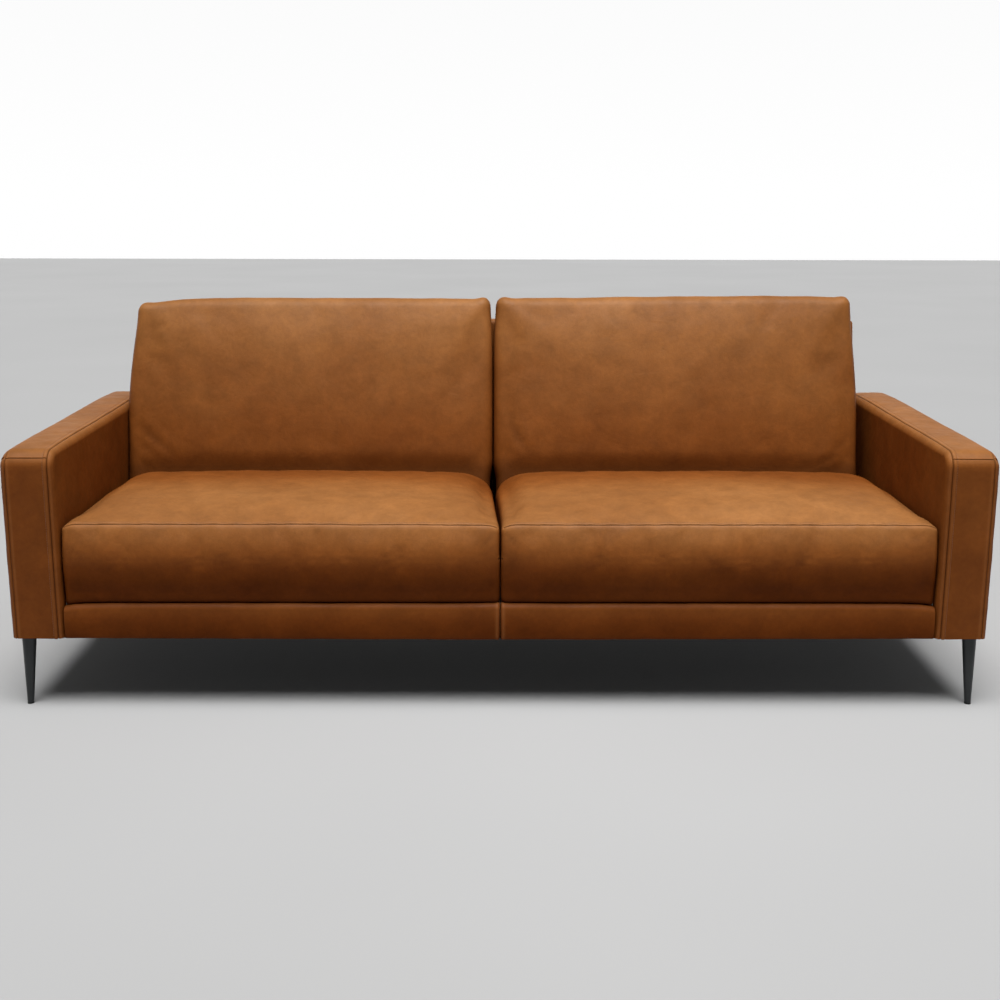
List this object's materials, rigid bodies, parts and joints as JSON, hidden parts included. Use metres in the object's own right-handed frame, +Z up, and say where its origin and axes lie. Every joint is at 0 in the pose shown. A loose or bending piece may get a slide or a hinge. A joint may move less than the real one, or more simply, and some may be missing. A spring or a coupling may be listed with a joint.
{
  "type": "sofa",
  "caption": "Low-armed leather sofa with loose seat and back cushions, padded front border and slim tapered metal legs.",
  "frame": {"origin": "middle of the footprint of the whole sofa, on the floor", "axes": "+X to the right as seen from in front, along the sofa's length; the front faces -Y; +Z up"},
  "size_m": [2.23, 0.93, 0.8817],
  "materials": {
    "leather": "satin",
    "dust_cloth": "matte",
    "deck_cloth": "matte",
    "felt": "matte",
    "foam": "matte",
    "board": "matte",
    "timber": "matte",
    "spring_steel": "satin",
    "zinc_steel": "satin",
    "webbing": "matte",
    "nylon": "matte",
    "leg_metal": "satin"
  },
  "bodies": {
    "frame": {"arm_boards": "board", "arm_left_bottom_rail": "timber", "arm_left_front_panel": "leather", "arm_left_front_post": "timber", "arm_left_inner_panel": "leather", "arm_left_outer_panel": "leather", "arm_left_padding": "foam", "arm_left_rear_panel": "leather", "arm_left_rear_post": "timber", "arm_left_top_panel": "leather", "arm_left_top_rail": "timber", "arm_right_bottom_rail": "timber", "arm_right_front_panel": "leather", "arm_right_front_post": "timber", "arm_right_inner_panel": "leather", "arm_right_outer_panel": "leather", "arm_right_padding": "foam", "arm_right_rear_panel": "leather", "arm_right_rear_post": "timber", "arm_right_top_panel": "leather", "arm_right_top_rail": "timber", "back_bottom_rail": "timber", "back_posts": "timber", "back_side_panels": "leather", "back_top_panel": "leather", "back_top_rail": "timber", "back_webbing": "webbing", "border_left_panel": "leather", "border_padding": "foam", "border_right_panel": "leather", "corner_blocks": "timber", "deck_cloth": "deck_cloth", "deck_pad": "felt", "dust_cover": "dust_cloth", "frame_bolts": "zinc_steel", "inside_back_padding": "foam", "inside_back_panel": "leather", "leg_front_left": "leg_metal", "leg_front_right": "leg_metal", "leg_glides": "nylon", "leg_rear_left": "leg_metal", "leg_rear_right": "leg_metal", "leg_studs": "zinc_steel", "outside_back_panel": "leather", "seat_centre_rail": "timber", "seat_front_rail": "timber", "seat_left_rail": "timber", "seat_rear_rail": "timber", "seat_right_rail": "timber", "seat_springs": "spring_steel", "spring_clips": "zinc_steel", "tee_nuts": "zinc_steel"},
    "seat_cushion_left": {"seat_cushion_left_cover": "leather", "seat_cushion_left_core": "foam"},
    "seat_cushion_right": {"seat_cushion_right_cover": "leather", "seat_cushion_right_core": "foam"},
    "back_cushion_left": {"back_cushion_left_cover": "leather", "back_cushion_left_core": "foam"},
    "back_cushion_right": {"back_cushion_right_cover": "leather", "back_cushion_right_core": "foam"}
  },
  "joints": [
    {"name": "seat_cushion_left_lift", "type": "slide", "parent": "frame", "child": "seat_cushion_left", "axis": [0, 0, 1], "range_m": [0, 0.25]},
    {"name": "seat_cushion_right_lift", "type": "slide", "parent": "frame", "child": "seat_cushion_right", "axis": [0, 0, 1], "range_m": [0, 0.25]},
    {"name": "back_cushion_left_lift", "type": "slide", "parent": "frame", "child": "back_cushion_left", "axis": [0, 0.2419, 0.9703], "range_m": [0, 0.3]},
    {"name": "back_cushion_right_lift", "type": "slide", "parent": "frame", "child": "back_cushion_right", "axis": [0, 0.2419, 0.9703], "range_m": [0, 0.3]}
  ]
}
